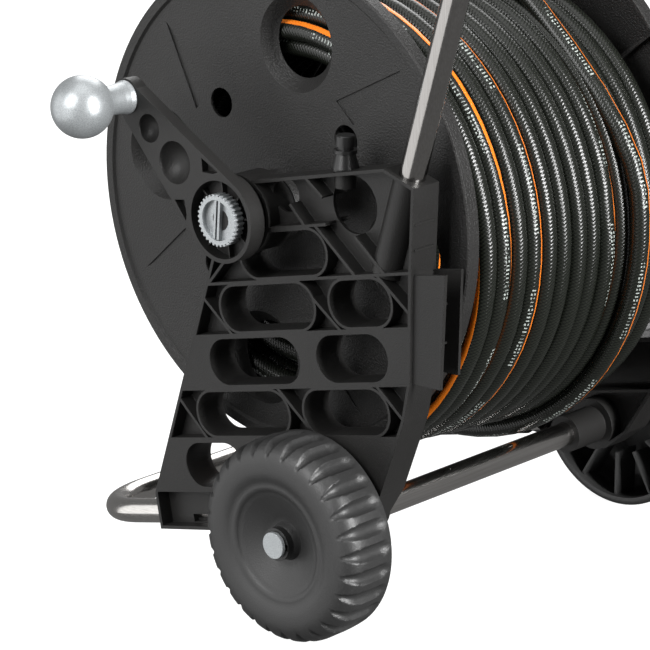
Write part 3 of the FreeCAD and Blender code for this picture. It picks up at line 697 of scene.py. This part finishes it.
def hose_skin():
    """Braided black rubber with a stripe and a row of ticks."""
    finish = Finish("hose_skin", specular_ior_level=0.5)
    chart = finish.node("ShaderNodeUVMap", {"uv_map": "hose_map"}, {})
    parts = finish.node("ShaderNodeSeparateXYZ", {}, {0: chart}).socket.node
    round_it, along_it = Wire(finish, parts.outputs[0]), Wire(finish, parts.outputs[1])
    braid = braid_of(round_it, along_it)
    worn = finish.noise(0.012, 3.0)
    aside = (round_it - STRIPE_PLACE).size()
    stripe = 1 - aside.ramp(STRIPE_SHARE * 0.44, STRIPE_SHARE * 0.54)
    scale = ticks_of(finish, round_it, along_it) * worn.ramp(0.28, 0.48)
    # The braid height mixes painted shade in the grooves with painted sheen on the thread backs.
    with_scale = finish.mix(scale * 0.8, finish.mix(braid, GROOVE_PAINTED_SHADE, THREAD_PAINTED_SHEEN), INK)
    finish.set("Base Color", finish.mix(stripe, with_scale, ORANGE))
    finish.set("Roughness", 0.34 + (worn - 0.5) * 0.08 - braid * 0.10)
    finish.set("Normal", finish.bump(braid * (1 - stripe), THREAD_DEPTH))
    return finish.material


hose.data.materials.append(hose_skin())
print("hose skin:", hose.data.materials[0].name)

# %% [markdown]
# ## Wheels with a scooped tread
# Each wheel is one moulded shape like a tyre, plain on its side, dished at the hub and open at the
# back, where ribs stiffen it. Its tread is the same scoop repeated round the rim: a pointed
# tip on the side wall and a round end near the back edge. One scoop could be modelled and
# copied round, but the whole wheel follows a rule, so Geometry Nodes make it. A grid is
# rolled round the axle along the section, the scoops are pressed towards the middle of the
# section, and ribs are set on a circle.

# %% The section of the tyre
WHEEL_X = 0.2280
CROWN = 0.0220
SECTION_R = 0.0660
SECTION_HALF = 0.0252
SQUARENESS = 2.6
SECTION_STEPS = 26
TREAD_START, TREAD_TOP = -30, 90
BACK_EDGE = 0.2016
BACK_STEPS = 8
BACK_ROUND, BACK_FALL = 0.0010, 0.0014
DISH_STEPS = 6
BORE = 0.01110
# Pairs of place along X, from the middle of the cart, and distance from the axle's line.
HUB = [(0.2436, BORE), (0.2436, 0.01450), (0.2385, 0.01560), (0.2372, 0.01700)]
DISH_END = (0.2488, 0.0440)
LIP = [(0.2480, 0.04460), (0.2480, 0.04520), (0.2498, 0.04570), (0.2506, 0.04680)]
INSIDE = [
    (BACK_EDGE, 0.0800), (0.2036, 0.0790), (0.2150, 0.0810), (0.2290, 0.0832),
    (0.2400, 0.0800), (0.2478, 0.0725), (0.2496, 0.0630), (0.2470, 0.0535),
    (0.2425, 0.0470), (0.2330, 0.0182), (0.2036, 0.0180), (0.2036, BORE),
]


def section_arc(first, last, steps):
    """Points (x, radius) on a squared ellipse between two angles in degrees."""
    points = []
    for step in range(steps + 1):
        angle = math.radians(first + (last - first) * step / steps)
        c, s = math.cos(angle), math.sin(angle)
        x = WHEEL_X + SECTION_HALF * math.copysign(abs(c) ** (2 / SQUARENESS), c)
        r = SECTION_R + CROWN * math.copysign(abs(s) ** (2 / SQUARENESS), s)
        points.append((x, r))
    return points


def tyre_section():
    """The closed section from the bore, over the side and the tread, and back inside."""
    (x, r), (end_x, end_r) = HUB[-1], DISH_END
    shares = [step / DISH_STEPS for step in range(1, DISH_STEPS + 1)]
    dish = [(x + (end_x - x) * t, r + (end_r - r) * t) for t in shares]
    tread = section_arc(TREAD_START, TREAD_TOP, SECTION_STEPS)
    top = SECTION_R + CROWN
    for step in range(1, BACK_STEPS + 1):
        t = step / BACK_STEPS
        across_back = WHEEL_X - BACK_EDGE - BACK_ROUND
        tread.append((WHEEL_X - across_back * t, top - BACK_FALL * t * t))
    tread += [(BACK_EDGE + 0.0002, top - 0.0020), (BACK_EDGE, top - 0.0030)]
    return HUB + dish + LIP, tread, INSIDE


def lengths_of(points):
    """How far along the outline each point is."""
    total = [0.0]
    for first, second in zip(points, points[1:]):
        total.append(total[-1] + math.dist(first, second))
    return total


before, tread, after = tyre_section()
section = before + tread + after
measure = lengths_of(section + [section[0]])
tread_from = measure[len(before)] / measure[-1]
tread_to = measure[len(before) + len(tread) - 1] / measure[-1]
print("section points:", len(section), " tread:", rounded((tread_from, tread_to)))

# %% The wheel's sizes
# A scoop's tip and end are shares of the section's length. The shape of a scoop is a few
# shares of its own length: how soon it is fully wide, and where its round end starts.
SCOOPS = 28
STEPS_PER_SCOOP = 20
ALONG_SECTION = 128
WIDEN, WIDEN_CURVE = 2.4, 0.55
ROUND_FROM = 0.86
TIP_DEPTH = 0.25
TIP_START = 12.0
RIB_DEPTH, RIB_LENGTH = 0.028, 0.0440
RIB_PLACE = (0.2200, 0.0602, 0.0)
WHEEL_SIZES = {
    "Scoops": float(SCOOPS),
    "Scoop Half Width": 0.0061,
    "Scoop Depth": 0.0046,
    "Tip": tread_from + (tread_to - tread_from) * 0.29,
    "End": tread_from + (tread_to - tread_from) * 0.92,
    "Axle Y": axes["wheel_crank_spin"].y,
    "Axle Z": axes["wheel_crank_spin"].z,
    "Rib Count": 12.0,
    "Rib Thickness": 0.0022,
    "Side": 1.0,
}
print("wheel sizes:", {name: round(value, 4) for name, value in WHEEL_SIZES.items()})


# %% The scoops as a sum
def scoop_depth(given, share, angle, r):
    """How deep the tread is pressed in at a share of the section and an angle round it."""
    turn = 2 * math.pi
    reach = ((share - given["Tip"]) / (given["End"] - given["Tip"])).held()
    body = (reach * WIDEN).held().power(WIDEN_CURVE)
    cap = (1 - ((reach - ROUND_FROM) * (1 / (1 - ROUND_FROM))).held().power(2.0)).held().root()
    half = given["Scoop Half Width"] * body * cap + 0.00001
    offset = ((angle / turn * given["Scoops"]).fraction() - 0.5) * turn * r / given["Scoops"]
    hollow = (1 - (offset / half).power(2.0)).held().root()
    started = (reach * TIP_START).held()
    fall = body * (1 - TIP_DEPTH) + TIP_DEPTH
    return given["Scoop Depth"] * hollow * fall * started * cap.root()


def rolled_skin(board, given):
    """A grid rolled round the axle along the section, with the scoops pressed in."""
    sizes = {"Size X": 1.0, "Size Y": 1.0}
    counts = {"Vertices X": ALONG_SECTION, "Vertices Y": SCOOPS * STEPS_PER_SCOOP + 1}
    grid = board.node("GeometryNodeMeshGrid", {}, {**sizes, **counts})
    chart = Wire(board, grid.socket.node.outputs["UV Map"])
    parts = board.node("ShaderNodeSeparateXYZ", {}, {0: chart}).socket.node
    share, angle = Wire(board, parts.outputs[0]), Wire(board, parts.outputs[1]) * (2 * math.pi)
    outline = board.node("GeometryNodeMeshToCurve", {}, {0: given["Geometry"]})
    sockets = {"Curves": outline, "Factor": share}
    spot = board.node("GeometryNodeSampleCurve", {"mode": "FACTOR"}, sockets, "Position")
    place = board.node("ShaderNodeSeparateXYZ", {}, {0: spot}).socket.node
    x, r = Wire(board, place.outputs[0]), Wire(board, place.outputs[2])
    depth = scoop_depth(given, share, angle, r)
    away_x, away_r = WHEEL_X - x, SECTION_R - r
    distance = (away_x * away_x + away_r * away_r).root()
    new_x = x + away_x / distance * depth
    new_r = r + away_r / distance * depth
    place = {0: new_x, 1: new_r * angle.cosine(), 2: new_r * angle.sine()}
    rolled = board.node("ShaderNodeCombineXYZ", {}, place)
    return board.node("GeometryNodeSetPosition", {}, {"Geometry": grid, "Position": rolled})


def rib_ring(board, given):
    """Flat ribs set on a circle inside the open back."""
    size = {0: RIB_DEPTH, 1: RIB_LENGTH, 2: given["Rib Thickness"]}
    size = board.node("ShaderNodeCombineXYZ", {}, size)
    rib = board.node("GeometryNodeMeshCube", {}, {"Size": size})
    rib = board.node("GeometryNodeTransform", {}, {"Geometry": rib, "Translation": RIB_PLACE})
    points = board.node("GeometryNodePoints", {}, {"Count": given["Rib Count"]})
    number = board.node("GeometryNodeInputIndex", {}, {})
    spin = {0: number * (2 * math.pi) / given["Rib Count"]}
    spin = board.node("ShaderNodeCombineXYZ", {}, spin)
    sockets = {"Points": points, "Instance": rib, "Rotation": spin}
    return board.node("GeometryNodeInstanceOnPoints", {}, sockets)


print("each scoop has", STEPS_PER_SCOOP, "steps round the wheel")


# %% The wheel's node tree
def wheel_tree(material):
    """Geometry nodes that turn the section into a whole wheel in its place on the axle."""
    tree = bpy.data.node_groups.new("scooped_wheel", "GeometryNodeTree")
    plugs = tree.interface
    plugs.new_socket(name="Geometry", in_out="INPUT", socket_type="NodeSocketGeometry")
    for name, value in WHEEL_SIZES.items():
        socket = plugs.new_socket(name=name, in_out="INPUT", socket_type="NodeSocketFloat")
        socket.default_value = value
    plugs.new_socket(name="Geometry", in_out="OUTPUT", socket_type="NodeSocketGeometry")
    board = Board(tree)
    entry = tree.nodes.new("NodeGroupInput")
    given = {socket.name: Wire(board, socket) for socket in entry.outputs if socket.name}
    joined = tree.nodes.new("GeometryNodeJoinGeometry")
    for part in (rib_ring(board, given), rolled_skin(board, given)):
        tree.links.new(part.socket, joined.inputs[0])
    whole = board.node("GeometryNodeRealizeInstances", {}, {0: Wire(board, joined.outputs[0])})
    side = board.node("ShaderNodeCombineXYZ", {}, {0: given["Side"], 1: 1.0, 2: 1.0})
    centre = {0: MIDDLE, 1: given["Axle Y"], 2: given["Axle Z"]}
    centre = board.node("ShaderNodeCombineXYZ", {}, centre)
    sockets = {"Geometry": whole, "Translation": centre, "Scale": side}
    moved = board.node("GeometryNodeTransform", {}, sockets)
    sockets = {"Geometry": moved, "Material": material}
    dressed = board.node("GeometryNodeSetMaterial", {}, sockets)
    leave = tree.nodes.new("NodeGroupOutput")
    tree.links.new(dressed.socket, leave.inputs[0])
    return tree


scooped = wheel_tree(finishes["wheel_black"])
print("wheel tree:", len(scooped.nodes), "nodes")

# %% Two wheels
SAME_SPOT = 0.00004
SHARP_DEGREES = 42


def grown(tree, host_mesh, name, changes):
    """The plain mesh that a node tree makes from a host mesh, with some inputs changed."""
    host = new_object(name, host_mesh)
    modifier = host.modifiers.new("grow", "NODES")
    modifier.node_group = tree
    for socket in tree.interface.items_tree:
        if socket.in_out == "INPUT" and socket.name in changes:
            modifier[socket.identifier] = changes[socket.name]
    graph = bpy.context.evaluated_depsgraph_get()
    mesh = bpy.data.meshes.new_from_object(host.evaluated_get(graph))
    host.modifiers.remove(modifier)
    host.data = mesh
    return host


def close_shell(mesh):
    """Merge doubles, turn faces outwards and shade smoothly except at sharp corners."""
    work = bmesh.new()
    work.from_mesh(mesh)
    bmesh.ops.remove_doubles(work, verts=work.verts, dist=SAME_SPOT)
    bmesh.ops.recalc_face_normals(work, faces=work.faces)
    work.to_mesh(mesh)
    work.free()
    mesh.polygons.foreach_set("use_smooth", [True] * len(mesh.polygons))
    mesh.set_sharp_from_angle(angle=math.radians(SHARP_DEGREES))


outline_mesh = bpy.data.meshes.new("tyre_section")
loop = [Vector((x, 0.0, r)) for x, r in section + [section[0]]]
outline_mesh.from_pydata(loop, [(n, n + 1) for n in range(len(loop) - 1)], [])
for side_name, side_sign in (("crank", 1.0), ("inlet", -1.0)):
    wheel = grown(scooped, outline_mesh, "moulded_wheel_%s_side" % side_name, {"Side": side_sign})
    close_shell(wheel.data)
    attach(wheel, "wheel_" + side_name)
    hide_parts("wheel_%s_side" % side_name)
    print(wheel.name, "faces:", len(wheel.data.polygons))

# %% [markdown]
# ## Who wears what
# The parts keep their own shapes, so a finish is put in their material slots. It could be
# done part by part, but a table of name beginnings is easier to read. It follows how each
# part is made: reel mouldings share the coarse grain, the frames the fine one, and small
# fittings are smoother.

# %% Dress the parts
WARDROBE = {
    "side_frame": "frame_black",
    "crank_arm": "frame_black",
    "reel_flange": "reel_black",
    "drum_half": "drum_black",
    "hub_journal": "reel_black",
    "wheel_keeper": "fitting_black",
    "thrust_washer": "fitting_black",
    "connector_parking_peg": "fitting_black",
    "water_inlet_elbow": "fitting_black",
    "drum_outlet_elbow": "fitting_black",
    "hose_end_connector": "fitting_black",
    "inlet_seal_ring": "drum_black",
    "crank_knob": "silver",
    "crank_lock_nut": "silver",
    "axle_end_cap": "silver",
    "axle_tube": "axle_steel",
    "handle_tube": "handle_steel",
    "foot_tube": "foot_steel",
    "knob_spindle": "screw_steel",
    "drum_tie_rods": "screw_steel",
    "handle_fixing_screws": "screw_steel",
    "foot_fixing_screws": "screw_steel",
}


def finish_for(node):
    """The finish of the longest table entry that the node's name starts with."""
    fits = [start for start in WARDROBE if node.startswith(start)]
    return finishes[WARDROBE[max(fits, key=len)]]


REPLACED = ("hose_coil", "wheel_crank_side", "wheel_inlet_side")
dressed = {name: item for name, item in frame["nodes"].items() if name not in REPLACED}
for name, item in dressed.items():
    item.data.materials.clear()
    item.data.materials.append(finish_for(name))
print("dressed", len(dressed), "parts")

# %% [markdown]
# ## Floor and light
# A white floor that runs past every edge of the view stands in for a studio sweep. It only
# shows to the camera: black parts would turn grey if they mirrored it. Large soft lamps
# give long, calm reflections. A wide card stands at the left with a smaller lamp above it,
# a tall narrow lamp at the right draws a line along each turn of hose, a weak one hangs
# overhead, and one lights the back. A dim, even sky keeps the shadows readable.

# %% The floor
FLOOR_HALF = 9.0
FLOOR_GLOW = 0.95


def studio_floor():
    """A square white floor that only the camera sees."""
    mesh = bpy.data.meshes.new("studio_floor")
    corners = [(-1, -1), (1, -1), (1, 1), (-1, 1)]
    verts = [(x * FLOOR_HALF, y * FLOOR_HALF, 0.0) for x, y in corners]
    mesh.from_pydata(verts, [], [(0, 1, 2, 3)])
    item = new_object("studio_floor", mesh)
    finish = Finish("floor_white", roughness=0.9, specular_ior_level=0.1)
    finish.set("Base Color", (0.30, 0.30, 0.30, 1))
    finish.set("Emission Color", (1, 1, 1, 1))
    finish.set("Emission Strength", FLOOR_GLOW)
    mesh.materials.append(finish.material)
    item.visible_diffuse = False
    item.visible_glossy = False
    item.visible_shadow = False
    return item


studio_floor()
print("floor:", 2 * FLOOR_HALF, "m square")

# %% Lamps
# Bearing and rise in degrees, distance, width and height in metres, and power in watts.
LAMPS = {
    "left_card": (-30, 0, 2.6, 4.4, 3.0, 56),
    "left_lamp": (-2, 30, 2.6, 1.2, 1.4, 46),
    "right_lamp": (86, 16, 2.6, 0.45, 1.9, 140),
    "top_lamp": (20, 80, 2.6, 2.0, 2.0, 18),
    "back_lamp": (215, 35, 3.0, 2.4, 2.4, 60),
}


def soft_lamp(name, bearing, rise, distance, width, height, power):
    """A flat lamp that looks at the reel from a bearing and a rise."""
    direction = towards(math.radians(bearing), math.radians(rise))
    data = bpy.data.lights.new(name, "AREA")
    data.shape = "RECTANGLE"
    data.size, data.size_y = width, height
    data.energy = power
    item = new_object(name, data)
    item.location = reel_axis + direction * distance
    look_back(item, direction)


for name, sizes in LAMPS.items():
    soft_lamp(name, *sizes)
print("lamps:", len(bpy.data.lights))

# %% Sky
SKY_STRENGTH = 0.18
sky = bpy.data.worlds.new("dim_sky")
sky.use_nodes = True
background = sky.node_tree.nodes["Background"]
background.inputs["Color"].default_value = (1, 1, 1, 1)
background.inputs["Strength"].default_value = SKY_STRENGTH
bpy.context.scene.world = sky
bpy.context.scene.view_settings.view_transform = "Standard"
print("sky strength:", SKY_STRENGTH)
